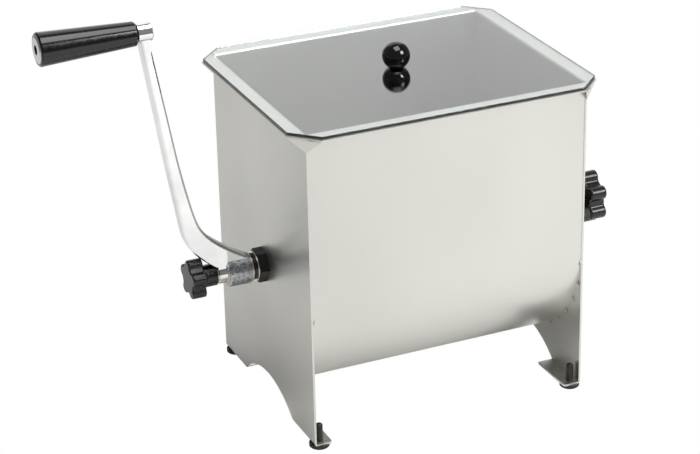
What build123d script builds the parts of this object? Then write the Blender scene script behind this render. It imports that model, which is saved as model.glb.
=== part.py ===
"""Hand-cranked meat mixer: stainless tub on two leg plates, crank, paddles, knobs and lid.

Frame: X runs along the shaft, the crank is at -X. Y runs front (-) to back (+). Z is up,
and Z = 0 is the table under the rubber feet. Millimetres.
"""
import os
from math import cos, radians, sin

from build123d import *

os.makedirs("parts", exist_ok=True)

# ---------------------------------------------------------------- driving dimensions
TUB_X = 66.0          # middle of the tub; the origin is under the middle of the whole object
LENGTH = 292.0        # tub, over the two end plates
WIDTH = 235.0         # end plates, front to back
RIM_Z = 328.0         # top of the rim
RIM_W = 15.0          # the rim is a flat flange, turned out by this much
CORNER = 9.5          # set-back of the rim's cut corners
GUSSET_H = 16.0       # a small gusset under each cut corner reaches this far below the rim
AXIS_Z = 150.0        # shaft axis
PLATE_T = 2.0         # end plate sheet
SKIN_T = 1.2          # wrapped tub sheet
SKIN_R = 117.0        # outside radius of the tub's round bottom
BEND_R = 1.5          # inside radius of every sheet bend

LEG_W = 53.5          # leg, front to back
ARCH_RISE = 25.0      # arch between the legs
TAB_W = 18.4          # foot tab, bent inward
FOOT_H = 4.0          # rubber disc under the tab
FOOT_IN = 8.0         # foot centre from the plate's outer face and from its edge
FOOT_HOLE_R = 3.25

GLAND_R = 10.0        # threaded bush through each plate
FLANGE_R = 15.0
NUT_AF = 30.0
NUT_T = 10.0
SHAFT_R = 7.0         # drive shaft
RUN = 0.05            # radial running clearance
TOUCH = 0.05          # axial gap between faces that slide on each other

CRANK_R = 259.0       # shaft axis to grip axis
ARM_T = 15.0          # arm, front to back
HUB_R = 15.5
COLLAR_R = 10.3
BOSS_R = 9.3
SPINDLE_R = 4.0

PADDLE_SHAFT_R = 11.0
PADDLE_TIP_R = 104.0
STUB_R = 6.0
STUD_R = 4.0
BALL_R = 13.8
BALL_FLAT = 11.75     # ball centre to the flat that sits on the lid
LID_T = 3.0
LID_GAP = 0.05        # the lid lies flat on the rim
LID_TOP = RIM_Z + LID_GAP + LID_T
LID_IN = 1.0          # the lid's edge is this far inside the rim's edge

XL = TUB_X - LENGTH / 2        # outer face of the left end plate
XR = TUB_X + LENGTH / 2        # outer face of the right end plate
CUT = RIM_W - CORNER           # where the cut corner crosses the lines of the tub's walls
TAB_Z = FOOT_H
HALF_W = WIDTH / 2
SHAFT_AXIS = Axis((0, 0, AXIS_Z), (1, 0, 0))


def finish(part, name):
    """Label a sub-part and write its STEP file."""
    part.part.label = name
    export_step(part.part, f"parts/{name}.step")


def left(d):
    """X of a point d outside the left end plate."""
    return XL - d


def right(d):
    """X of a point d outside the right end plate."""
    return XR + d


# ---------------------------------------------------------------- end plates
with BuildPart() as left_end_plate:
    # side view of the bent sheet: foot tab, wall, rim
    with BuildSketch(Plane.XZ) as sheet:
        with BuildLine():
            Polyline(
                (XL + TAB_W, TAB_Z),
                (XL, TAB_Z),
                (XL, RIM_Z - PLATE_T),
                (XL - RIM_W, RIM_Z - PLATE_T),
                (XL - RIM_W, RIM_Z),
                (XL + PLATE_T, RIM_Z),
                (XL + PLATE_T, TAB_Z + PLATE_T),
                (XL + TAB_W, TAB_Z + PLATE_T),
                close=True,
            )
        make_face()
        outer = sheet.vertices().filter_by_position(Axis.X, XL - 0.01, XL + 0.01)
        inner = sheet.vertices().filter_by_position(Axis.X, XL + PLATE_T - 0.01, XL + PLATE_T + 0.01)
        fillet(outer.sort_by(Axis.Y)[0], BEND_R + PLATE_T)
        fillet(inner.sort_by(Axis.Y)[0], BEND_R)
        outer = sheet.vertices().filter_by_position(Axis.X, XL - 0.01, XL + 0.01)
        fillet(outer.sort_by(Axis.Y)[-1], BEND_R)
        inner = sheet.vertices().filter_by_position(Axis.X, XL + PLATE_T - 0.01, XL + PLATE_T + 0.01)
        fillet(inner.sort_by(Axis.Y)[-1], BEND_R + PLATE_T)
    extrude(amount=HALF_W + CUT, both=True)
    with BuildSketch(Plane.XY):
        for side in (-1, 1):
            with Locations((XL + TAB_W / 2 + 5, side * (HALF_W + 10))):
                Rectangle(TAB_W + 10, 20)
    extrude(amount=RIM_Z + 5, mode=Mode.SUBTRACT)

    # arch between the legs, cut through the wall and the tab
    chord = WIDTH - 2 * LEG_W
    arch_r = (chord**2 / 4 + ARCH_RISE**2) / (2 * ARCH_RISE)
    with BuildSketch(Plane.YZ.offset(XL - 5)):
        with Locations((0, TAB_Z + ARCH_RISE - arch_r)):
            Circle(arch_r)
    extrude(amount=TAB_W + 10, mode=Mode.SUBTRACT)
    tab_ends = left_end_plate.edges().filter_by(Axis.Z).group_by(Axis.X)[-1]
    fillet(tab_ends, 3)

    # the rim's cut corners
    for side in (-1, 1):
        with BuildSketch(Plane.XY.offset(RIM_Z - 10)):
            Polygon(
                (XL, side * (HALF_W + CUT)),
                (XL - RIM_W - 5, side * (HALF_W - CORNER - 5)),
                (XL - RIM_W - 5, side * (HALF_W + 20)),
                (XL, side * (HALF_W + 20)),
                align=None,
            )
        extrude(amount=20, mode=Mode.SUBTRACT)

    with BuildSketch(Plane.YZ.offset(XL - 1)):
        with Locations((0, AXIS_Z)):
            Circle(GLAND_R)
    extrude(amount=PLATE_T + 2, mode=Mode.SUBTRACT)
    with BuildSketch(Plane.XY.offset(TAB_Z - 1)):
        with Locations((XL + FOOT_IN, FOOT_IN - HALF_W), (XL + FOOT_IN, HALF_W - FOOT_IN)):
            Circle(FOOT_HOLE_R)
    extrude(amount=PLATE_T + 2, mode=Mode.SUBTRACT)
finish(left_end_plate, "left_end_plate")

with BuildPart() as right_end_plate:
    mirror(left_end_plate.part, about=Plane.YZ.offset(TUB_X))
finish(right_end_plate, "right_end_plate")

# ---------------------------------------------------------------- tub sheet
with BuildPart() as tub_skin:
    skin_in = SKIN_R - SKIN_T
    rim_y = HALF_W + RIM_W
    with BuildSketch(Plane.YZ.offset(XL)) as wrap:
        with BuildLine():
            Polyline(
                (-SKIN_R, AXIS_Z),
                (-SKIN_R, RIM_Z - SKIN_T),
                (-rim_y, RIM_Z - SKIN_T),
                (-rim_y, RIM_Z),
                (-skin_in, RIM_Z),
                (-skin_in, AXIS_Z),
            )
            ThreePointArc((-skin_in, AXIS_Z), (0, AXIS_Z - skin_in), (skin_in, AXIS_Z))
            Polyline(
                (skin_in, AXIS_Z),
                (skin_in, RIM_Z),
                (rim_y, RIM_Z),
                (rim_y, RIM_Z - SKIN_T),
                (SKIN_R, RIM_Z - SKIN_T),
                (SKIN_R, AXIS_Z),
            )
            ThreePointArc((SKIN_R, AXIS_Z), (0, AXIS_Z - SKIN_R), (-SKIN_R, AXIS_Z))
        make_face()
        top_points = wrap.vertices().filter_by(lambda v: v.Y > RIM_Z - SKIN_T - 0.01)
        fillet(top_points.filter_by(lambda v: abs(abs(v.X) - SKIN_R) < 0.01), BEND_R)
        top_points = wrap.vertices().filter_by(lambda v: v.Y > RIM_Z - 0.01)
        fillet(top_points.filter_by(lambda v: abs(abs(v.X) - skin_in) < 0.01), BEND_R + SKIN_T)
    extrude(amount=LENGTH)
    # room for the end plates, which stand a little proud of the wrapped sheet
    with BuildSketch(Plane.XY):
        with Locations((XL + PLATE_T / 2, 0), (XR - PLATE_T / 2, 0)):
            Rectangle(PLATE_T, WIDTH)
    extrude(amount=RIM_Z + 5, mode=Mode.SUBTRACT)
    for end, x in ((1, XL), (-1, XR)):
        for side in (-1, 1):
            with BuildSketch(Plane.XY.offset(RIM_Z - 10)):
                Polygon(
                    (x, side * (HALF_W + CUT)),
                    (x + end * 2 * RIM_W, side * (HALF_W + CUT + 2 * RIM_W)),
                    (x - end * 5, side * (HALF_W + CUT + 2 * RIM_W)),
                    (x - end * 5, side * (HALF_W + CUT)),
                    align=None,
                )
            extrude(amount=20, mode=Mode.SUBTRACT)
finish(tub_skin, "tub_skin")

# ---------------------------------------------------------------- gussets under the rim's corners
for name, end, side in (
    ("rim_corner_fl", -1, -1),
    ("rim_corner_fr", 1, -1),
    ("rim_corner_bl", -1, 1),
    ("rim_corner_br", 1, 1),
):
    under = RIM_Z - PLATE_T
    foot = Vector(TUB_X + end * LENGTH / 2, side * HALF_W, RIM_Z - GUSSET_H)
    tip_a = Vector(foot.X - end * CORNER, foot.Y + side * RIM_W, under)
    tip_b = Vector(foot.X + end * RIM_W, foot.Y - side * CORNER, under)
    face_up = (tip_a - foot).cross(tip_b - foot).normalized()
    if face_up.Z < 0:
        face_up = face_up * -1
    with BuildPart() as rim_corner:
        with BuildSketch(Plane.XY.offset(RIM_Z - GUSSET_H - 1)):
            Polygon((foot.X, foot.Y), (tip_a.X, tip_a.Y), (tip_b.X, tip_b.Y), align=None)
        extrude(amount=GUSSET_H + 1 - PLATE_T)
        split(bisect_by=Plane(origin=foot, z_dir=face_up), keep=Keep.TOP)
        add(left_end_plate.part if end < 0 else right_end_plate.part, mode=Mode.SUBTRACT)
    finish(rim_corner, name)

# ---------------------------------------------------------------- rubber feet
STEM_R = 3.6
STEM_Z = 24.5
for name, x, y in (
    ("foot_fl", XL + FOOT_IN, FOOT_IN - HALF_W),
    ("foot_bl", XL + FOOT_IN, HALF_W - FOOT_IN),
    ("foot_fr", XR - FOOT_IN, FOOT_IN - HALF_W),
    ("foot_br", XR - FOOT_IN, HALF_W - FOOT_IN),
):
    with BuildPart() as foot_pad:
        with BuildSketch(Plane.XY):
            with Locations((x, y)):
                Circle(10)
        extrude(amount=FOOT_H)
        chamfer(foot_pad.edges().filter_by(GeomType.CIRCLE).sort_by(Axis.Z)[0], 0.8)
        with BuildSketch(Plane.XY.offset(FOOT_H)):
            with Locations((x, y)):
                Circle(FOOT_HOLE_R)
        extrude(amount=PLATE_T)
        # the stem that was pulled up through the tab, with a domed end
        with BuildSketch(Plane.XY.offset(FOOT_H + PLATE_T)):
            with Locations((x, y)):
                Circle(STEM_R)
        extrude(amount=STEM_Z - FOOT_H - PLATE_T)
        fillet(foot_pad.edges().filter_by(GeomType.CIRCLE).sort_by(Axis.Z)[-1], 2.4)
    finish(foot_pad, name)


# ---------------------------------------------------------------- parts on the shaft axis
def ring(x0, x1, outer_r, bore_r=0.0):
    """A ring or disc on the shaft axis from x0 to x1, as the current part's next solid."""
    with BuildSketch(Plane.YZ.offset(min(x0, x1))) as section:
        with Locations((0, AXIS_Z)):
            Circle(outer_r)
            if bore_r:
                Circle(bore_r, mode=Mode.SUBTRACT)
    extrude(section.sketch, amount=abs(x1 - x0))


def bore(x0, x1, r):
    """A round hole on the shaft axis from x0 to x1 through the current part."""
    with BuildSketch(Plane.YZ.offset(min(x0, x1))) as section:
        with Locations((0, AXIS_Z)):
            Circle(r)
    extrude(section.sketch, amount=abs(x1 - x0), mode=Mode.SUBTRACT)


def hexagon_nut(x0, x1):
    """A chamfered hexagon nut between the two planes, outer face at x1."""
    with BuildSketch(Plane.YZ.offset(min(x0, x1))) as hexagon:
        with Locations((0, AXIS_Z)):
            RegularPolygon(radius=NUT_AF / 2, side_count=6, major_radius=False)
    extrude(hexagon.sketch, amount=abs(x1 - x0))
    with BuildSketch(Plane.XZ) as turned:
        sign = 1 if x1 > x0 else -1
        with BuildLine():
            Polyline(
                (x0, AXIS_Z),
                (x0, AXIS_Z + NUT_AF / 2 + 3),
                (x1 - sign * 1.6, AXIS_Z + NUT_AF / 2 + 3),
                (x1, AXIS_Z + NUT_AF / 2 - 0.6),
                (x1, AXIS_Z),
                close=True,
            )
        make_face()
    revolve(turned.sketch, axis=SHAFT_AXIS, mode=Mode.INTERSECT)
    bore(x0, x1, GLAND_R)


def star_head(x0, x1, reach, lobes):
    """A lobed knob head between two planes, rounded all along both faces."""
    with BuildSketch(Plane.YZ.offset(min(x0, x1))) as star:
        with Locations((0, AXIS_Z)):
            lobe_r = 1.5 * reach / lobes
            Circle(reach * 0.72)
            with PolarLocations(reach - lobe_r, lobes, start_angle=90):
                Circle(lobe_r)
        fillet(star.vertices(), 0.5 * lobe_r)
    extrude(star.sketch, amount=abs(x1 - x0))


with BuildPart() as left_gasket:
    ring(XL + PLATE_T, XL + PLATE_T + 1.5, FLANGE_R, GLAND_R)
finish(left_gasket, "left_gasket")

with BuildPart() as right_gasket:
    ring(XR - PLATE_T - 1.5, XR - PLATE_T, FLANGE_R, GLAND_R)
finish(right_gasket, "right_gasket")

GASKET_END = PLATE_T + 1.5
FLANGE_END = GASKET_END + 3.0
SLEEVE_R = 8.0
with BuildPart() as left_gland:
    ring(XL + GASKET_END, XL + FLANGE_END, FLANGE_R, SLEEVE_R)
    chamfer(left_gland.edges().filter_by(GeomType.CIRCLE).group_by(Axis.X)[-1].sort_by(SortBy.RADIUS)[-1], 0.8)
    ring(left(NUT_T + 1.2), XL + GASKET_END, GLAND_R, SLEEVE_R)
finish(left_gland, "left_gland")

with BuildPart() as left_nut:
    hexagon_nut(XL, left(NUT_T))
finish(left_nut, "left_nut")

with BuildPart() as left_washer:
    ring(left(NUT_T), left(NUT_T + 1.2), 15.0, GLAND_R)
finish(left_washer, "left_washer")

SLEEVE_FACE = 15.2
with BuildPart() as left_sleeve:
    ring(left(NUT_T + 1.2), left(SLEEVE_FACE), 13.3)
    ring(left(NUT_T + 1.2), XL + FLANGE_END, SLEEVE_R)
    bore(left(SLEEVE_FACE), XL + FLANGE_END, SHAFT_R + RUN)
finish(left_sleeve, "left_sleeve")

with BuildPart() as right_gland:
    ring(XR - FLANGE_END, XR - GASKET_END, FLANGE_R)
    chamfer(right_gland.edges().filter_by(GeomType.CIRCLE).group_by(Axis.X)[0], 0.8)
    ring(XR - GASKET_END, right(14.0), GLAND_R)
    chamfer(right_gland.edges().filter_by(GeomType.CIRCLE).group_by(Axis.X)[-1], 0.8)
    bore(XR - FLANGE_END, right(14.0), STUB_R + RUN)
finish(right_gland, "right_gland")

with BuildPart() as right_nut:
    hexagon_nut(XR, right(NUT_T))
finish(right_nut, "right_nut")

# ---------------------------------------------------------------- drive shaft and crank hub
SHAFT_OUT = 48.0
SHAFT_IN = 36.0
PIN_X = XL + 24.0
PIN_R = 2.0
with BuildPart() as drive_shaft:
    ring(left(SHAFT_OUT), XL + SHAFT_IN, SHAFT_R)
    chamfer(drive_shaft.edges().filter_by(GeomType.CIRCLE), 0.8)
    bore(left(SHAFT_OUT), left(SHAFT_OUT - 20), STUD_R)
    with BuildSketch(Plane.XY.offset(AXIS_Z - 10)):
        with Locations((PIN_X, 0)):
            Circle(PIN_R)
    extrude(amount=20, mode=Mode.SUBTRACT)
finish(drive_shaft, "drive_shaft")

with BuildPart() as drive_pin:
    with BuildSketch(Plane.XY.offset(AXIS_Z - PADDLE_SHAFT_R)):
        with Locations((PIN_X, 0)):
            Circle(PIN_R)
    extrude(amount=2 * PADDLE_SHAFT_R)
    chamfer(drive_pin.edges().filter_by(GeomType.CIRCLE), 0.4)
finish(drive_pin, "drive_pin")

with BuildPart() as thrust_collar:
    ring(XL + FLANGE_END + 0.2, XL + 11.8, PADDLE_SHAFT_R, SHAFT_R)
finish(thrust_collar, "thrust_collar")

with BuildPart() as hub_ring:
    ring(left(SLEEVE_FACE + 0.2), left(17.0), 14.5, SHAFT_R)
finish(hub_ring, "hub_ring")

with BuildPart() as crank_hub:
    ring(left(17.0), left(40.0), HUB_R, SHAFT_R)
    rims = crank_hub.edges().filter_by(GeomType.CIRCLE).filter_by(lambda e: e.radius > SHAFT_R + 1)
    chamfer(rims, 0.7)
finish(crank_hub, "crank_hub")

COLLAR_END = 50.0
BOSS_END = 65.0       # where the crank knob's boss meets its lobed head
KNOB_BOSS_R = 11.0
with BuildPart() as crank_collar:
    ring(left(40.0), left(COLLAR_END), COLLAR_R, SHAFT_R)
    rims = crank_collar.edges().filter_by(GeomType.CIRCLE).group_by(Axis.X)[0]
    chamfer(rims.sort_by(SortBy.RADIUS)[-1], 0.6)
finish(crank_collar, "crank_collar")

# ---------------------------------------------------------------- crank arm
# outline points as (distance outside the left plate, height above the shaft axis)
ARM_OUTER = (
    (50.0, 7.0),
    (58.5, 14.0),
    (67.0, 21.5),
    (74.3, 29.8),
    (79.6, 39.0),
    (83.0, 49.5),
    (85.4, 63.0),
    (89.0, 85.0),
    (95.0, 121.0),
    (101.2, 162.0),
    (108.4, 209.0),
    (114.0, 246.0),
)
ARM_INNER = (
    (19.0, 15.2),
    (30.0, 21.8),
    (40.0, 28.6),
    (50.0, 36.3),
    (58.8, 44.8),
    (65.6, 54.4),
    (70.2, 66.0),
    (75.2, 85.0),
    (83.2, 121.4),
    (90.4, 162.0),
    (98.6, 209.0),
    (105.0, 246.0),
)
BOSS_IN = 102.5
BOSS_OUT = 117.0
with BuildPart() as crank_arm:
    with BuildSketch(Plane.XZ):
        outer_pts = [(left(d), AXIS_Z + h) for d, h in ARM_OUTER]
        inner_pts = [(left(d), AXIS_Z + h) for d, h in ARM_INNER]
        with BuildLine():
            Spline(*outer_pts)
            Polyline(
                outer_pts[-1],
                (left(115.6), AXIS_Z + CRANK_R),
                (left(104.0), AXIS_Z + CRANK_R),
                inner_pts[-1],
            )
            Spline(*inner_pts[::-1])
            Polyline(inner_pts[0], (left(19.0), AXIS_Z + 3), (left(50.0), AXIS_Z + 3), outer_pts[0])
        make_face()
    extrude(amount=ARM_T / 2, both=True)
    flanks = crank_arm.faces().filter_by(Axis.Y)
    long_edges = flanks.edges().filter_by(lambda e: e.length > 60)
    fillet(long_edges, 2.5)
    # eye at the top for the grip spindle
    with BuildSketch(Plane.YZ.offset(left(BOSS_OUT))):
        with Locations((0, AXIS_Z + CRANK_R)):
            Circle(BOSS_R)
    extrude(amount=BOSS_OUT - BOSS_IN)
    chamfer(crank_arm.edges().filter_by(GeomType.CIRCLE).filter_by(lambda e: e.radius > BOSS_R - 0.01), 0.8)
    # the foot of the arm sits on the hub and the collar
    bore(left(17.0), left(40.0), HUB_R)
    bore(left(40.0), left(COLLAR_END), COLLAR_R)
    bore(left(COLLAR_END), left(BOSS_END), KNOB_BOSS_R + 1.5)
    with BuildSketch(Plane.YZ.offset(left(BOSS_OUT))):
        with Locations((0, AXIS_Z + CRANK_R)):
            Circle(SPINDLE_R)
    extrude(amount=BOSS_OUT - BOSS_IN - 2, mode=Mode.SUBTRACT)
finish(crank_arm, "crank_arm")

# ---------------------------------------------------------------- grip
GRIP_IN = BOSS_OUT + 0.3
GRIP_OUT = 211.0
CAP_FACE = 212.0
POCKET = 200.0        # floor of the screw pocket in the grip's outer end
GRIP_AXIS = Axis((0, 0, AXIS_Z + CRANK_R), (1, 0, 0))
grip_z = AXIS_Z + CRANK_R
with BuildPart() as grip_handle:
    with BuildSketch(Plane.XZ):
        with BuildLine():
            Polyline(
                (left(GRIP_IN), grip_z + SPINDLE_R + RUN),
                (left(GRIP_IN), grip_z + 10.2),
                (left(GRIP_IN + 1.4), grip_z + 11.6),
                (left(GRIP_OUT - 1.6), grip_z + 16.0),
                (left(GRIP_OUT), grip_z + 14.6),
                (left(GRIP_OUT), grip_z + 13.0),
                (left(GRIP_OUT - 1.0), grip_z + 13.0),
                (left(GRIP_OUT - 1.0), grip_z + 9.0),
                (left(POCKET), grip_z + 9.0),
                (left(POCKET), grip_z + SPINDLE_R + RUN),
                close=True,
            )
        make_face()
    revolve(axis=GRIP_AXIS)
finish(grip_handle, "grip_handle")

with BuildPart() as grip_end_cap:
    with BuildSketch(Plane.XZ):
        with BuildLine():
            Polyline(
                (left(GRIP_OUT - 1.0), grip_z + 4.6),
                (left(GRIP_OUT - 1.0), grip_z + 13.0),
                (left(GRIP_OUT), grip_z + 13.0),
                (left(CAP_FACE), grip_z + 11.4),
                (left(CAP_FACE), grip_z + 4.6),
                close=True,
            )
        make_face()
    revolve(axis=GRIP_AXIS)
finish(grip_end_cap, "grip_end_cap")

with BuildPart() as grip_spindle:
    with BuildSketch(Plane.YZ.offset(left(POCKET + 0.3))):
        with Locations((0, grip_z)):
            Circle(SPINDLE_R)
    extrude(amount=POCKET + 0.3 - BOSS_IN - 2)
    with BuildSketch(Plane.YZ.offset(left(POCKET + 4.3))):
        with Locations((0, grip_z)):
            Circle(7.0)
    extrude(amount=4.0)
    fillet(grip_spindle.edges().filter_by(GeomType.CIRCLE).sort_by(Axis.X)[0], 1.0)
    with BuildSketch(Plane.YZ.offset(left(POCKET + 4.3))):
        with Locations((0, grip_z)):
            Rectangle(16, 1.8)
    extrude(amount=1.8, mode=Mode.SUBTRACT)
finish(grip_spindle, "grip_spindle")

# ---------------------------------------------------------------- crank knob
WASHER_OUT = 51.2
HEAD_END = 80.0
with BuildPart() as knob_washer:
    ring(left(COLLAR_END + TOUCH), left(WASHER_OUT), 9.5, STUD_R)
finish(knob_washer, "knob_washer")

with BuildPart() as crank_knob:
    star_head(left(BOSS_END), left(HEAD_END), 20.0, 5)
    fillet(crank_knob.faces().filter_by(Axis.X).edges(), 1.8)
    ring(left(WASHER_OUT + TOUCH), left(BOSS_END), KNOB_BOSS_R)
    chamfer(crank_knob.edges().filter_by(GeomType.CIRCLE).group_by(Axis.X)[-1], 0.6)
    bore(left(WASHER_OUT), left(72.0), STUD_R - RUN)
finish(crank_knob, "crank_knob")

with BuildPart() as crank_knob_stud:
    ring(left(33.0), left(72.0), STUD_R - RUN)
    chamfer(crank_knob_stud.edges().filter_by(GeomType.CIRCLE), 0.6)
finish(crank_knob_stud, "crank_knob_stud")

# ---------------------------------------------------------------- paddle shaft and paddles
PADDLE_X0 = XL + 12.0
PADDLE_X1 = XR - 10.0
with BuildPart() as paddle_shaft:
    ring(PADDLE_X0, PADDLE_X1, PADDLE_SHAFT_R)
    chamfer(paddle_shaft.edges().filter_by(GeomType.CIRCLE), 1.0)
    bore(PADDLE_X0, XL + SHAFT_IN + 1.0, SHAFT_R)
    bore(PADDLE_X1 - 17.0, PADDLE_X1, STUB_R + RUN)
    # slot that slides over the drive pin
    with BuildSketch(Plane.XY.offset(AXIS_Z - 15)):
        with Locations((PADDLE_X0, 0)):
            Rectangle(2 * (PIN_X - PADDLE_X0), 2 * PIN_R)
        with Locations((PIN_X, 0)):
            Circle(PIN_R)
    extrude(amount=30, mode=Mode.SUBTRACT)
finish(paddle_shaft, "paddle_shaft")

SOCKET_R = 16.0
ROD_R = 5.0
for i, (dx, side) in enumerate(((-99.0, 1), (-33.0, -1), (33.0, 1), (99.0, -1)), start=1):
    x = TUB_X + dx
    # +Z of this plane points out along the arm
    out = Plane(origin=(x, 0, AXIS_Z), x_dir=(1, 0, 0), z_dir=(0, side, 0))
    with BuildPart() as paddle_socket:
        ring(x - 12.0, x + 12.0, SOCKET_R)
        chamfer(paddle_socket.edges().filter_by(GeomType.CIRCLE), 1.5)
        bore(x - 12.0, x + 12.0, PADDLE_SHAFT_R)
        with BuildSketch(out):
            Circle(ROD_R)
        extrude(amount=SOCKET_R + 1, mode=Mode.SUBTRACT)
    finish(paddle_socket, f"paddle_socket_{i}")

    with BuildPart() as paddle:
        with BuildSketch(out.offset(PADDLE_SHAFT_R)):
            Circle(ROD_R)
        extrude(amount=82.0 - PADDLE_SHAFT_R)
        fillet(paddle.edges().filter_by(GeomType.CIRCLE).sort_by(SortBy.DISTANCE)[-1], 1.5)
        # blade: a plate across the arm's end, turned to push the load along the tub
        turn = radians(25 if i < 3 else -25)
        along = Vector(cos(turn), 0, sin(turn))
        with BuildSketch(Plane(origin=out.origin, x_dir=along, z_dir=along.cross(out.z_dir))):
            with Locations((0, PADDLE_TIP_R - 15.0)):
                RectangleRounded(56.0, 30.0, 8.0)
        extrude(amount=1.5, both=True)
    finish(paddle, f"paddle_{i}")

# ---------------------------------------------------------------- release knob and stub axle
with BuildPart() as release_washer:
    ring(right(14.0 + TOUCH), right(15.2), 13.0, STUB_R + RUN)
finish(release_washer, "release_washer")

with BuildPart() as stub_axle:
    ring(XR - 26.0, right(15.2 + TOUCH), STUB_R)
    chamfer(stub_axle.edges().filter_by(GeomType.CIRCLE).group_by(Axis.X)[0], 1.0)
    ring(right(15.2 + TOUCH), right(40.0), 10.0)
    ring(right(40.0), right(68.0), STUD_R)
finish(stub_axle, "stub_axle")

with BuildPart() as release_knob:
    star_head(right(62.0), right(80.0), 28.0, 6)
    fillet(release_knob.faces().filter_by(Axis.X).edges(), 2.2)
    ring(right(40.0), right(62.0), 13.0)
    chamfer(release_knob.edges().filter_by(GeomType.CIRCLE).group_by(Axis.X)[0], 0.8)
    bore(right(40.0), right(68.0), STUD_R)
finish(release_knob, "release_knob")


# ---------------------------------------------------------------- lid
def cut_rectangle(half_x, half_y):
    """The lid's outline: a rectangle with cut corners."""
    c = RIM_W + CORNER
    Polygon(
        (TUB_X - half_x + c, -half_y),
        (TUB_X + half_x - c, -half_y),
        (TUB_X + half_x, -half_y + c),
        (TUB_X + half_x, half_y - c),
        (TUB_X + half_x - c, half_y),
        (TUB_X - half_x + c, half_y),
        (TUB_X - half_x, half_y - c),
        (TUB_X - half_x, -half_y + c),
        align=None,
    )


with BuildPart() as lid_panel:
    with BuildSketch(Plane.XY.offset(RIM_Z + LID_GAP)):
        cut_rectangle(LENGTH / 2 + RIM_W - LID_IN, HALF_W + RIM_W - LID_IN)
    extrude(amount=LID_T)
    edges = lid_panel.edges().filter_by(lambda e: e.length > 30)
    fillet(edges, 0.5)
    with Locations((TUB_X, 0, LID_TOP - LID_T / 2)):
        Cylinder(3.0, LID_T, mode=Mode.SUBTRACT)
finish(lid_panel, "lid_panel")

with BuildPart() as lid_knob:
    ball_z = LID_TOP + BALL_FLAT
    with Locations((TUB_X, 0, ball_z)):
        Sphere(BALL_R)
    split(bisect_by=Plane.XY.offset(LID_TOP), keep=Keep.TOP)
    with Locations((TUB_X, 0, LID_TOP + 4)):
        Cylinder(3.0, 8.0, mode=Mode.SUBTRACT)
finish(lid_knob, "lid_knob")

with BuildPart() as lid_counter_knob:
    lid_under = LID_TOP - LID_T
    with Locations((TUB_X, 0, lid_under - BALL_FLAT)):
        Sphere(BALL_R)
    split(bisect_by=Plane.XY.offset(lid_under), keep=Keep.BOTTOM)
    with Locations((TUB_X, 0, lid_under - 4)):
        Cylinder(3.0, 8.0, mode=Mode.SUBTRACT)
finish(lid_counter_knob, "lid_counter_knob")

with BuildPart() as lid_stud:
    with Locations((TUB_X, 0, LID_TOP - LID_T / 2)):
        Cylinder(3.0, LID_T + 16.0)
finish(lid_stud, "lid_stud")
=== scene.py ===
"""Looks for the hand-cranked meat mixer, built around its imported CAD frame.

Everything is in metres, X along the shaft from the crank to the release knob,
Y from the front wall to the back wall, Z up from the table.
"""

import math

import bmesh
import bpy
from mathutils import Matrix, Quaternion, Vector


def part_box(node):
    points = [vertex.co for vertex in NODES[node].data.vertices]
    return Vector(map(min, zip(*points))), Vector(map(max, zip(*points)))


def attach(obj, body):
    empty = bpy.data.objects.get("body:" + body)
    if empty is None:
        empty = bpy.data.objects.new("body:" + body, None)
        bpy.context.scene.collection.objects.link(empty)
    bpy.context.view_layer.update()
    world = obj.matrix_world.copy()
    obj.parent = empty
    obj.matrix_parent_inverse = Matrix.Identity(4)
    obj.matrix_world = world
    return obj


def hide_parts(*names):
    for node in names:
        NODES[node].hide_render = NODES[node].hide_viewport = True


bl_info = {
    "name": "Hand-Cranked Meat Mixer",
    "version": (1, 0, 0),
    "blender": (4, 5, 0),
    "location": "View3D > Sidebar > Mixer",
    "description": "Finishes, welds, threads and fittings for a steel meat mixer",
    "category": "Object",
}

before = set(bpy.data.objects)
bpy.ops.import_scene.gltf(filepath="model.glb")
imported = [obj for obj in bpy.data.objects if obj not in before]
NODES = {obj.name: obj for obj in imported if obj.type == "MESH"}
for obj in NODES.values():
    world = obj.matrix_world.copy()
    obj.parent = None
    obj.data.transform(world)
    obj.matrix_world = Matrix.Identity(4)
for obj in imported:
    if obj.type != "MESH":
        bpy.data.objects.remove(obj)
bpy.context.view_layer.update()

MM = 0.001
UP = Vector((0, 0, 1))


# ------------------------------------------------------------------ places
def low(node):
    """Lowest corner of a CAD node."""
    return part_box(node)[0]


def high(node):
    """Highest corner of a CAD node."""
    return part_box(node)[1]


def middle(node):
    """Middle of a CAD node's box."""
    return (low(node) + high(node)) / 2


SHAFT_Z = middle("crank_hub").z
SKIN_R = SHAFT_Z - low("tub_skin").z
LEFT_WALL = low("left_gasket").x       # inner face of the left end plate
RIGHT_WALL = high("right_gasket").x    # inner face of the right end plate


# ------------------------------------------------------------------ colour and nodes
def linear(hex_colour):
    """An sRGB hex colour as linear red, green, blue and alpha."""
    out = []
    for i in (0, 2, 4):
        c = int(hex_colour[i:i + 2], 16) / 255
        out.append(c / 12.92 if c <= 0.04045 else ((c + 0.055) / 1.055) ** 2.4)
    return (*out, 1.0)


def add(tree, kind, inputs=(), **settings):
    """Add a node with its settings, and set or link its inputs."""
    node = tree.nodes.new(kind)
    for name, value in settings.items():
        setattr(node, name, value)
    for name, value in dict(inputs).items():
        if isinstance(value, bpy.types.NodeSocket):
            tree.links.new(value, node.inputs[name])
        else:
            node.inputs[name].default_value = value
    return node


def blank(name):
    """A new empty material and its node tree."""
    material = bpy.data.materials.new(name)
    material.use_nodes = True
    material.node_tree.nodes.clear()
    return material, material.node_tree


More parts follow.
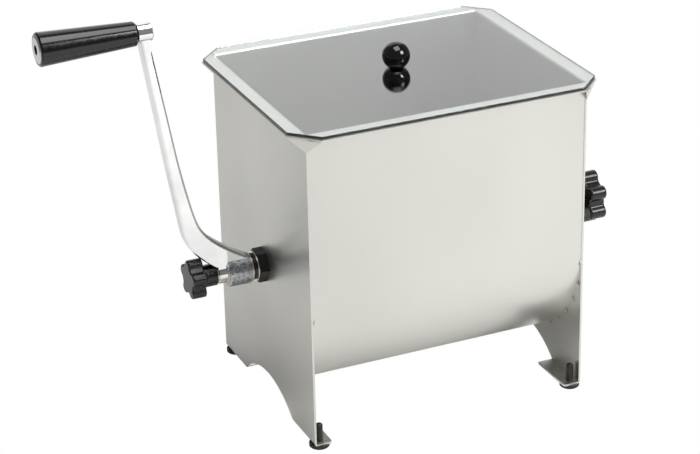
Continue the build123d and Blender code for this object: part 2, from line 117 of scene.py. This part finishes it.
def grain(tree, spacing, stretch=(1, 1, 1), detail=3.0, rough=0.55):
    """Noise in Object coordinates with one blotch about every `spacing` metres, drawn out along an axis."""
    where = add(tree, "ShaderNodeTexCoord").outputs["Object"]
    turned = add(tree, "ShaderNodeMapping", {"Vector": where, "Scale": stretch})
    noise = add(
        tree, "ShaderNodeTexNoise",
        {"Vector": turned.outputs[0], "Scale": 1 / spacing, "Detail": detail, "Roughness": rough},
    )
    return noise.outputs["Fac"]


def spread(tree, fac, low_value, high_value, start=0.3, stop=0.7):
    """Map a 0 to 1 pattern onto a range of values."""
    node = add(
        tree, "ShaderNodeMapRange",
        {"Value": fac, "From Min": start, "From Max": stop, "To Min": low_value, "To Max": high_value},
    )
    return node.outputs["Result"]


def tint(tree, fac, dark, light):
    """A colour between two hex colours by a pattern."""
    node = add(tree, "ShaderNodeMix", {0: fac}, data_type="RGBA")
    node.inputs[6].default_value = linear(dark)
    node.inputs[7].default_value = linear(light)
    return node.outputs[2]


def shade(tree, bump=None, **inputs):
    """Close a material with its surface shader; bump is (height, strength, distance)."""
    shader = add(tree, "ShaderNodeBsdfPrincipled")
    if bump:
        height, strength, distance = bump
        lifted = add(
            tree, "ShaderNodeBump",
            {"Height": height, "Strength": strength, "Distance": distance},
        )
        tree.links.new(lifted.outputs[0], shader.inputs["Normal"])
    for name, value in inputs.items():
        socket = shader.inputs[name.replace("_", " ")]
        if isinstance(value, bpy.types.NodeSocket):
            tree.links.new(value, socket)
        else:
            socket.default_value = value
    output = add(tree, "ShaderNodeOutputMaterial")
    tree.links.new(shader.outputs[0], output.inputs[0])
    return shader


def brushed_stainless(name, colours, along, roughness):
    """Stainless steel sheet, brushed with a fine belt: soft streaks along the sheet's grain."""
    material, tree = blank(name)
    across = [1.0 if i != along else 0.012 for i in range(3)]
    hair = grain(tree, 0.55 * MM, across, detail=2.0)      # belt grit lines, real spacing 0.1, drawn at 0.55 mm
    cloud = grain(tree, 180 * MM, (1, 1, 0.6), detail=1.0)  # hand-sized patches, barely seen
    colour = tint(tree, spread(tree, cloud, 0, 1), *colours)
    rough = add(
        tree, "ShaderNodeMath",
        {0: spread(tree, hair, -0.02, 0.02), 1: spread(tree, cloud, roughness - 0.008, roughness + 0.008)},
        operation="ADD",
    )
    shade(
        tree, (hair, 0.03, 0.02 * MM), Base_Color=colour, Metallic=1.0, Roughness=rough.outputs[0],
    )
    return material


def metal(name, colours, roughness, spacing, bump=0.1, stretch=(1, 1, 1), depth=0.05):
    """A metal with a mottled or turned surface."""
    material, tree = blank(name)
    fac = grain(tree, spacing, stretch)
    shade(
        tree, (fac, bump, depth * MM), Base_Color=tint(tree, spread(tree, fac, 0, 1), *colours),
        Metallic=1.0, Roughness=spread(tree, fac, *roughness),
    )
    return material


def moulded(name, colours, roughness, spacing, bump=0.1, depth=0.05, ior=1.5, coat=0.0):
    """A moulded plastic or rubber."""
    material, tree = blank(name)
    fac = grain(tree, spacing)
    shade(
        tree, (fac, bump, depth * MM), Base_Color=tint(tree, spread(tree, fac, 0, 1), *colours),
        Roughness=spread(tree, fac, *roughness), IOR=ior, Coat_Weight=coat, Coat_Roughness=0.05,
    )
    return material


def coat_slots(material, *nodes):
    """Give CAD nodes a material, on the slots they have."""
    for node in nodes:
        mesh = NODES[node].data
        if not mesh.materials:
            mesh.materials.append(material)
        for i in range(len(mesh.materials)):
            mesh.materials[i] = material


# ------------------------------------------------------------------ modelling
def deselect():
    """Nothing selected, nothing active in edit mode."""
    bpy.ops.object.select_all(action="DESELECT")


def only(piece):
    """Select and activate one object."""
    deselect()
    piece.select_set(True)
    bpy.context.view_layer.objects.active = piece


def pick(piece, test):
    """In edit mode, select the vertices whose position passes the test."""
    mesh = bmesh.from_edit_mesh(piece.data)
    for v in mesh.verts:
        v.select_set(test(v.co))
    mesh.select_flush(True)
    bmesh.update_edit_mesh(piece.data)


def turned_bar(rings, sides):
    """A closed round bar along X, made by extruding its end from one ring (x, radius) to the next."""
    deselect()
    x, radius = rings[0]
    bpy.ops.mesh.primitive_circle_add(
        vertices=sides, radius=radius, fill_type="NGON", location=(x, 0, 0), rotation=(0, math.pi / 2, 0),
    )
    bar = bpy.context.object
    bpy.ops.object.transform_apply(location=True, rotation=True, scale=True)
    bpy.ops.object.mode_set(mode="EDIT")
    bpy.ops.mesh.select_all(action="SELECT")
    for next_x, next_radius in rings[1:]:
        bpy.ops.mesh.extrude_region_move(TRANSFORM_OT_translate={"value": (next_x - x, 0, 0)})
        ratio = next_radius / radius
        bpy.ops.transform.resize(value=(1, ratio, ratio), center_override=(next_x, 0, 0))
        x, radius = next_x, next_radius
    bpy.ops.mesh.select_all(action="SELECT")
    bpy.ops.mesh.normals_make_consistent(inside=False)
    bpy.ops.object.mode_set(mode="OBJECT")
    return bar


def settle(piece, name, body, slot, material, *nodes):
    """Freeze a finished piece's place into its mesh and hook it to the frame."""
    only(piece)
    bpy.ops.object.transform_apply(location=True, rotation=True, scale=True)
    piece.name = piece.data.name = name
    piece.data.materials.clear()
    piece.data.materials.append(material)
    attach(piece, body)
    if nodes:
        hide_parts(*nodes)
    return piece


# ------------------------------------------------------------------ settings
class MixerFinish(bpy.types.PropertyGroup):
    """Sizes and colours of the finishes."""

    steel_roughness: bpy.props.FloatProperty(
        name="Steel roughness", description="Blur of the brushed sheet", default=0.34,
        min=0.05, max=0.8, subtype="FACTOR",
    )
    steel_dark: bpy.props.StringProperty(
        name="Steel, dark", description="Hex colour of the sheet's darker patches", default="C3C2BE",
    )
    steel_light: bpy.props.StringProperty(
        name="Steel, light", description="Hex colour of the sheet's lighter patches", default="CFCECA",
    )
    weld_colour: bpy.props.StringProperty(
        name="Weld", description="Hex colour of the weld beads", default="A9A7A2",
    )


class MixerSizes(bpy.types.PropertyGroup):
    """Sizes of the welds and threads."""

    bead: bpy.props.FloatProperty(
        name="Bead", description="Radius of a weld bead", default=1.3 * MM, unit="LENGTH",
    )
    bead_length: bpy.props.FloatProperty(
        name="Bead length", description="Length of one stitch of weld", default=7 * MM, unit="LENGTH",
    )
    bead_gap: bpy.props.FloatProperty(
        name="Bead spacing", description="From one stitch to the next", default=22 * MM, unit="LENGTH",
    )
    thread_pitch: bpy.props.FloatProperty(
        name="Thread pitch", description="Pitch of the studs' threads", default=1.25 * MM, unit="LENGTH",
    )


class MixerStage(bpy.types.PropertyGroup):
    """Where the camera and the lamps stand."""

    azimuth: bpy.props.FloatProperty(
        name="Azimuth", description="Camera's turn round the object",
        default=math.radians(-23.58), subtype="ANGLE",
    )
    elevation: bpy.props.FloatProperty(
        name="Elevation", description="Camera's height above the horizon",
        default=math.radians(24.71), subtype="ANGLE",
    )
    roll: bpy.props.FloatProperty(
        name="Roll", description="Camera's tilt about its own axis",
        default=math.radians(-1.28), subtype="ANGLE",
    )
    distance: bpy.props.FloatProperty(
        name="Distance", description="Camera to its target", default=2.3, unit="LENGTH",
    )
    lens: bpy.props.FloatProperty(
        name="Lens", description="Focal length in millimetres", default=119.1, min=10,
    )
    key: bpy.props.FloatProperty(
        name="Key lamp", description="Strength of the soft lamp in front, on the right",
        default=48, unit="POWER",
    )
    top: bpy.props.FloatProperty(
        name="Top lamp", description="Strength of the soft lamp overhead", default=42, unit="POWER",
    )
    back: bpy.props.FloatProperty(
        name="Back lamp", description="Strength of the soft lamp behind", default=48, unit="POWER",
    )
    sky: bpy.props.FloatProperty(
        name="Surroundings", description="Strength of the white surroundings", default=0.25, min=0,
    )


# ------------------------------------------------------------------ operators
class MIXER_OT_finish(bpy.types.Operator):
    """Give every CAD node its finish"""

    bl_idname = "mixer.finish"
    bl_label = "Finish the frame"

    def execute(self, context):
        look = context.scene.mixer_finish
        # belt-brushed sheet: soft upright streaks, reflections blurred to broad tones
        steel = brushed_stainless(
            "Brushed stainless steel", (look.steel_dark, look.steel_light), 2, look.steel_roughness,
        )
        coat_slots(
            steel, "tub_skin", "left_end_plate", "right_end_plate",
            "rim_corner_fl", "rim_corner_fr", "rim_corner_bl", "rim_corner_br",
        )
        # soft rubber: black and dull, with a faint moulded grain
        rubber = moulded("Moulded rubber", ("070707", "141414"), (0.45, 0.6), 0.6 * MM)
        coat_slots(rubber, "foot_fl", "foot_fr", "foot_bl", "foot_br")
        # cut silicone: dark grey, slightly waxy
        silicone = moulded("Silicone sheet", ("3A3A38", "4A4A48"), (0.4, 0.5), 0.8 * MM)
        coat_slots(silicone, "left_gasket", "right_gasket")
        # machined nylon: black flats that catch a soft grey light
        black_nut = moulded("Black nylon", ("060606", "101010"), (0.25, 0.4), 0.7 * MM)
        coat_slots(black_nut, "left_nut", "right_nut")
        # cloth-filled resin: nearly black, red-brown where it is lit
        phenolic = moulded("Brown bearing resin", ("140605", "2A0E0B"), (0.12, 0.25), 1.2 * MM)
        coat_slots(phenolic, "left_sleeve")
        # lathe-turned steel: mid grey, fairly bright
        turned = metal("Turned steel", ("9A9A98", "C2C2C0"), (0.18, 0.3), 1.5 * MM)
        coat_slots(
            turned, "left_gland", "right_gland", "drive_shaft", "drive_pin", "thrust_collar",
            "stub_axle", "crank_knob_stud", "lid_stud",
        )
        # cast and tumbled: greyer than the sheet and a little uneven
        cast = metal("Cast stainless steel", ("8E8D88", "B5B4AF"), (0.3, 0.45), 2.5 * MM, bump=0.3)
        coat_slots(
            cast, "paddle_shaft", *(f"paddle_{i}" for i in (1, 2, 3, 4)),
            *(f"paddle_socket_{i}" for i in (1, 2, 3, 4)),
        )
        # bright plate: light, nearly a mirror
        nickel = metal("Bright nickel plate", ("C9C8C2", "E6E5E0"), (0.08, 0.16), 2 * MM, bump=0.05)
        coat_slots(
            nickel, "left_washer", "hub_ring", "knob_washer", "release_washer", "grip_spindle",
            "crank_collar",
        )
        # zinc plate: crystals 3 mm across, lighter and darker
        zinc = metal("Mottled zinc plate", ("868B8D", "C4C8CA"), (0.22, 0.36), 3.2 * MM, bump=0.2)
        coat_slots(zinc, "crank_hub")
        # polished chrome: a clear mirror, white where the room is white
        chrome = metal("Chrome plate", ("D8D9DA", "EDEEEE"), (0.05, 0.08), 30 * MM, bump=0.01)
        coat_slots(chrome, "crank_arm")
        # buffed phenolic: deep black with a long sharp highlight
        grip = moulded("Polished black phenolic", ("020202", "050505"), (0.12, 0.2), 5 * MM, bump=0.03)
        coat_slots(grip, "grip_handle")
        # turned aluminium: pale and satin
        silver = metal("Turned aluminium", ("B8B9BA", "DADBDC"), (0.15, 0.25), 1.2 * MM)
        coat_slots(silver, "grip_end_cap")
        # moulded phenolic: black with a soft sheen
        knob = moulded("Satin black phenolic", ("050505", "0B0B0B"), (0.22, 0.34), 1.0 * MM)
        coat_slots(knob, "crank_knob", "release_knob")
        # lacquer-smooth phenolic: black with small bright highlights
        ball = moulded("Glossy black phenolic", ("010101", "030303"), (0.03, 0.07), 6 * MM, bump=0.02)
        coat_slots(ball, "lid_knob", "lid_counter_knob")
        # cast acrylic: clear, with a dark line at its edge
        material, tree = blank("Clear acrylic sheet")
        fac = grain(tree, 40 * MM)
        surface = shade(
            tree, None, Base_Color=linear("F7FAFA"), Roughness=spread(tree, fac, 0.01, 0.03),
            IOR=1.49, Transmission_Weight=1.0,
        )
        # a clear sheet casts almost no shadow into the tub
        path = add(tree, "ShaderNodeLightPath")
        clear = add(tree, "ShaderNodeBsdfTransparent", {"Color": linear("F4F8F8")})
        both = add(
            tree, "ShaderNodeMixShader",
            {0: path.outputs["Is Shadow Ray"], 1: surface.outputs[0], 2: clear.outputs[0]},
        )
        tree.links.new(both.outputs[0], tree.nodes["Material Output"].inputs[0])
        coat_slots(material, "lid_panel")
        return {"FINISHED"}


class MIXER_OT_welds(bpy.types.Operator):
    """Stitch welds round the tub's round bottom, and a ring of weld on the crank's hub"""

    bl_idname = "mixer.welds"
    bl_label = "Welds"

    def execute(self, context):
        s = context.scene.mixer_sizes
        steel = metal(
            "Weld bead", (context.scene.mixer_finish.weld_colour, "C9C7C2"), (0.3, 0.4), 1.1 * MM, bump=0.3,
        )
        # one stitch: a short bead with ripples, thinner at its ends
        steps = 12
        rings = []
        for i in range(steps + 1):
            share = i / steps
            swell = math.sqrt(1.04 - (2 * share - 1) ** 2) * (1.0 if i % 2 else 0.86)
            rings.append(((share - 0.5) * s.bead_length, s.bead * swell))
        stitch = turned_bar(rings, 10)
        only(stitch)
        bpy.ops.transform.rotate(value=math.pi / 2, orient_axis="Z", center_override=(0, 0, 0))
        bpy.ops.object.transform_apply(location=True, rotation=True, scale=True)
        radius = SKIN_R + s.bead * 0.3
        count = int(math.pi * radius / s.bead_gap)
        sunk = 0.6 * MM      # from the plate's inner face to the middle of a bead
        for side, x in (("left", LEFT_WALL + sunk), ("right", RIGHT_WALL - sunk)):
            stitches = []
            for i in range(count):
                angle = math.pi * (i + 0.5) / count
                only(stitch)
                bpy.ops.object.duplicate()
                copy = context.object
                copy.location = (x, -radius * math.cos(angle), SHAFT_Z - radius * math.sin(angle))
                copy.rotation_euler = (math.pi / 2 - angle, 0, 0)
                stitches.append(copy)
            deselect()
            for copy in stitches:
                copy.select_set(True)
            context.view_layer.objects.active = stitches[0]
            bpy.ops.object.join()
            settle(context.object, f"{side}_seam_welds", "tub", "tub_steel", steel)
        only(stitch)
        bpy.ops.object.delete()

        # a rippled ring of weld where the hub meets its collar
        deselect()
        hub = high("crank_collar").x
        radius = (high("crank_collar").z - low("crank_collar").z) / 2
        bpy.ops.mesh.primitive_torus_add(
            major_segments=64, minor_segments=10, major_radius=radius, minor_radius=1.2 * MM,
            location=(hub, 0, SHAFT_Z), rotation=(0, math.pi / 2, 0),
        )
        ring = context.object
        bpy.ops.object.mode_set(mode="EDIT")
        pick(ring, lambda co: round(math.atan2(co.y, co.x) / (2 * math.pi) * 64) % 2 == 0)
        bpy.ops.transform.shrink_fatten(value=0.22 * MM)
        bpy.ops.object.mode_set(mode="OBJECT")
        settle(ring, "hub_weld", "agitator", "bright_zinc", steel)
        return {"FINISHED"}


class MIXER_OT_threads(bpy.types.Operator):
    """Cut the threads of the crank knob's stud"""

    bl_idname = "mixer.threads"
    bl_label = "Threads"

    def execute(self, context):
        s = context.scene.mixer_sizes
        steel = metal("Rolled thread", ("8F8F8C", "C6C6C3"), (0.2, 0.32), 0.9 * MM)
        start, end = low("crank_knob_stud"), high("crank_knob_stud")
        radius = (end.z - start.z) / 2
        rings = [(start.x, radius - 1.2 * MM)]
        at = start.x + 0.7 * MM
        while at + s.thread_pitch < end.x:
            rings += [(at, radius - 0.62 * MM), (at + s.thread_pitch * 0.5, radius)]
            at += s.thread_pitch
        rings.append((end.x, radius - 0.62 * MM))
        stud = turned_bar(rings, 24)
        stud.location = (0, 0, SHAFT_Z)
        settle(
            stud, "crank_stud_thread", "crank_knob", "turned_steel", steel, "crank_knob_stud",
        )
        return {"FINISHED"}


class MIXER_OT_stage(bpy.types.Operator):
    """Set the floor, the lamps and the camera"""

    bl_idname = "mixer.stage"
    bl_label = "Stage"

    def execute(self, context):
        s = context.scene.mixer_stage
        back = Vector((
            math.sin(s.azimuth) * math.cos(s.elevation),
            -math.cos(s.azimuth) * math.cos(s.elevation),
            math.sin(s.elevation),
        ))
        target = Vector((13.9, 1.5, 169.7)) * MM
        bpy.ops.object.camera_add(location=target + back * s.distance)
        camera = context.object
        camera.name = "camera"
        camera.rotation_mode = "QUATERNION"
        camera.rotation_quaternion = (-back).to_track_quat("-Z", "Y") @ Quaternion(UP, s.roll)
        camera.data.lens = s.lens
        camera.data.sensor_width = 36
        context.scene.camera = camera

        deselect()
        bpy.ops.mesh.primitive_plane_add(size=16, location=(0, 0, 0))
        floor = context.object
        floor.name = "floor"
        material, tree = blank("White studio floor")
        seen = add(tree, "ShaderNodeEmission", {"Color": linear("FFFFFF"), "Strength": 1.0})
        lit = add(tree, "ShaderNodeBsdfDiffuse", {"Color": linear("F2F2F0")})
        path = add(tree, "ShaderNodeLightPath")
        both = add(
            tree, "ShaderNodeMixShader",
            {0: path.outputs["Is Camera Ray"], 1: lit.outputs[0], 2: seen.outputs[0]},
        )
        output = add(tree, "ShaderNodeOutputMaterial")
        tree.links.new(both.outputs[0], output.inputs[0])
        floor.data.materials.append(material)

        for name, place, size, power in (
            ("key softbox", (1.3, -1.8, 1.7), 1.0, s.key),
            ("top softbox", (0.1, -0.5, 2.6), 1.6, s.top),
            ("back softbox", (0.9, 3.0, 1.9), 4.0, s.back),
        ):
            bpy.ops.object.light_add(type="AREA", location=place)
            lamp = context.object
            lamp.name = name
            lamp.data.size = size
            lamp.data.energy = power
            lamp.rotation_mode = "QUATERNION"
            lamp.rotation_quaternion = (Vector((0.05, 0, 0.2)) - Vector(place)).to_track_quat("-Z", "Y")

        world = bpy.data.worlds.new("studio")
        context.scene.world = world
        world.use_nodes = True
        world.node_tree.nodes.clear()
        sky = add(world.node_tree, "ShaderNodeBackground", {"Color": linear("FFFFFF"), "Strength": s.sky})
        out = add(world.node_tree, "ShaderNodeOutputWorld")
        world.node_tree.links.new(sky.outputs[0], out.inputs[0])
        context.scene.view_settings.view_transform = "Standard"
        return {"FINISHED"}


OPERATORS = (MIXER_OT_finish, MIXER_OT_welds, MIXER_OT_threads, MIXER_OT_stage)


class MIXER_PT_panel(bpy.types.Panel):
    """Lists the mixer's operators and settings"""

    bl_label = "Meat Mixer"
    bl_idname = "MIXER_PT_panel"
    bl_space_type = "VIEW_3D"
    bl_region_type = "UI"
    bl_category = "Mixer"

    def draw(self, context):
        scene = context.scene
        for group in (scene.mixer_finish, scene.mixer_sizes, scene.mixer_stage):
            for name in group.__annotations__:
                self.layout.prop(group, name)
        for operator in OPERATORS:
            self.layout.operator(operator.bl_idname)


CLASSES = (MixerFinish, MixerSizes, MixerStage, *OPERATORS, MIXER_PT_panel)


def register():
    for cls in CLASSES:
        bpy.utils.register_class(cls)
    bpy.types.Scene.mixer_finish = bpy.props.PointerProperty(type=MixerFinish)
    bpy.types.Scene.mixer_sizes = bpy.props.PointerProperty(type=MixerSizes)
    bpy.types.Scene.mixer_stage = bpy.props.PointerProperty(type=MixerStage)


def unregister():
    del bpy.types.Scene.mixer_stage
    del bpy.types.Scene.mixer_sizes
    del bpy.types.Scene.mixer_finish
    for cls in reversed(CLASSES):
        bpy.utils.unregister_class(cls)


def main():
    """Build the looks piece by piece."""
    register()
    deselect()
    bpy.ops.mixer.finish()
    bpy.ops.mixer.welds()
    bpy.ops.mixer.threads()
    bpy.ops.mixer.stage()


if __name__ == "__main__":
    main()
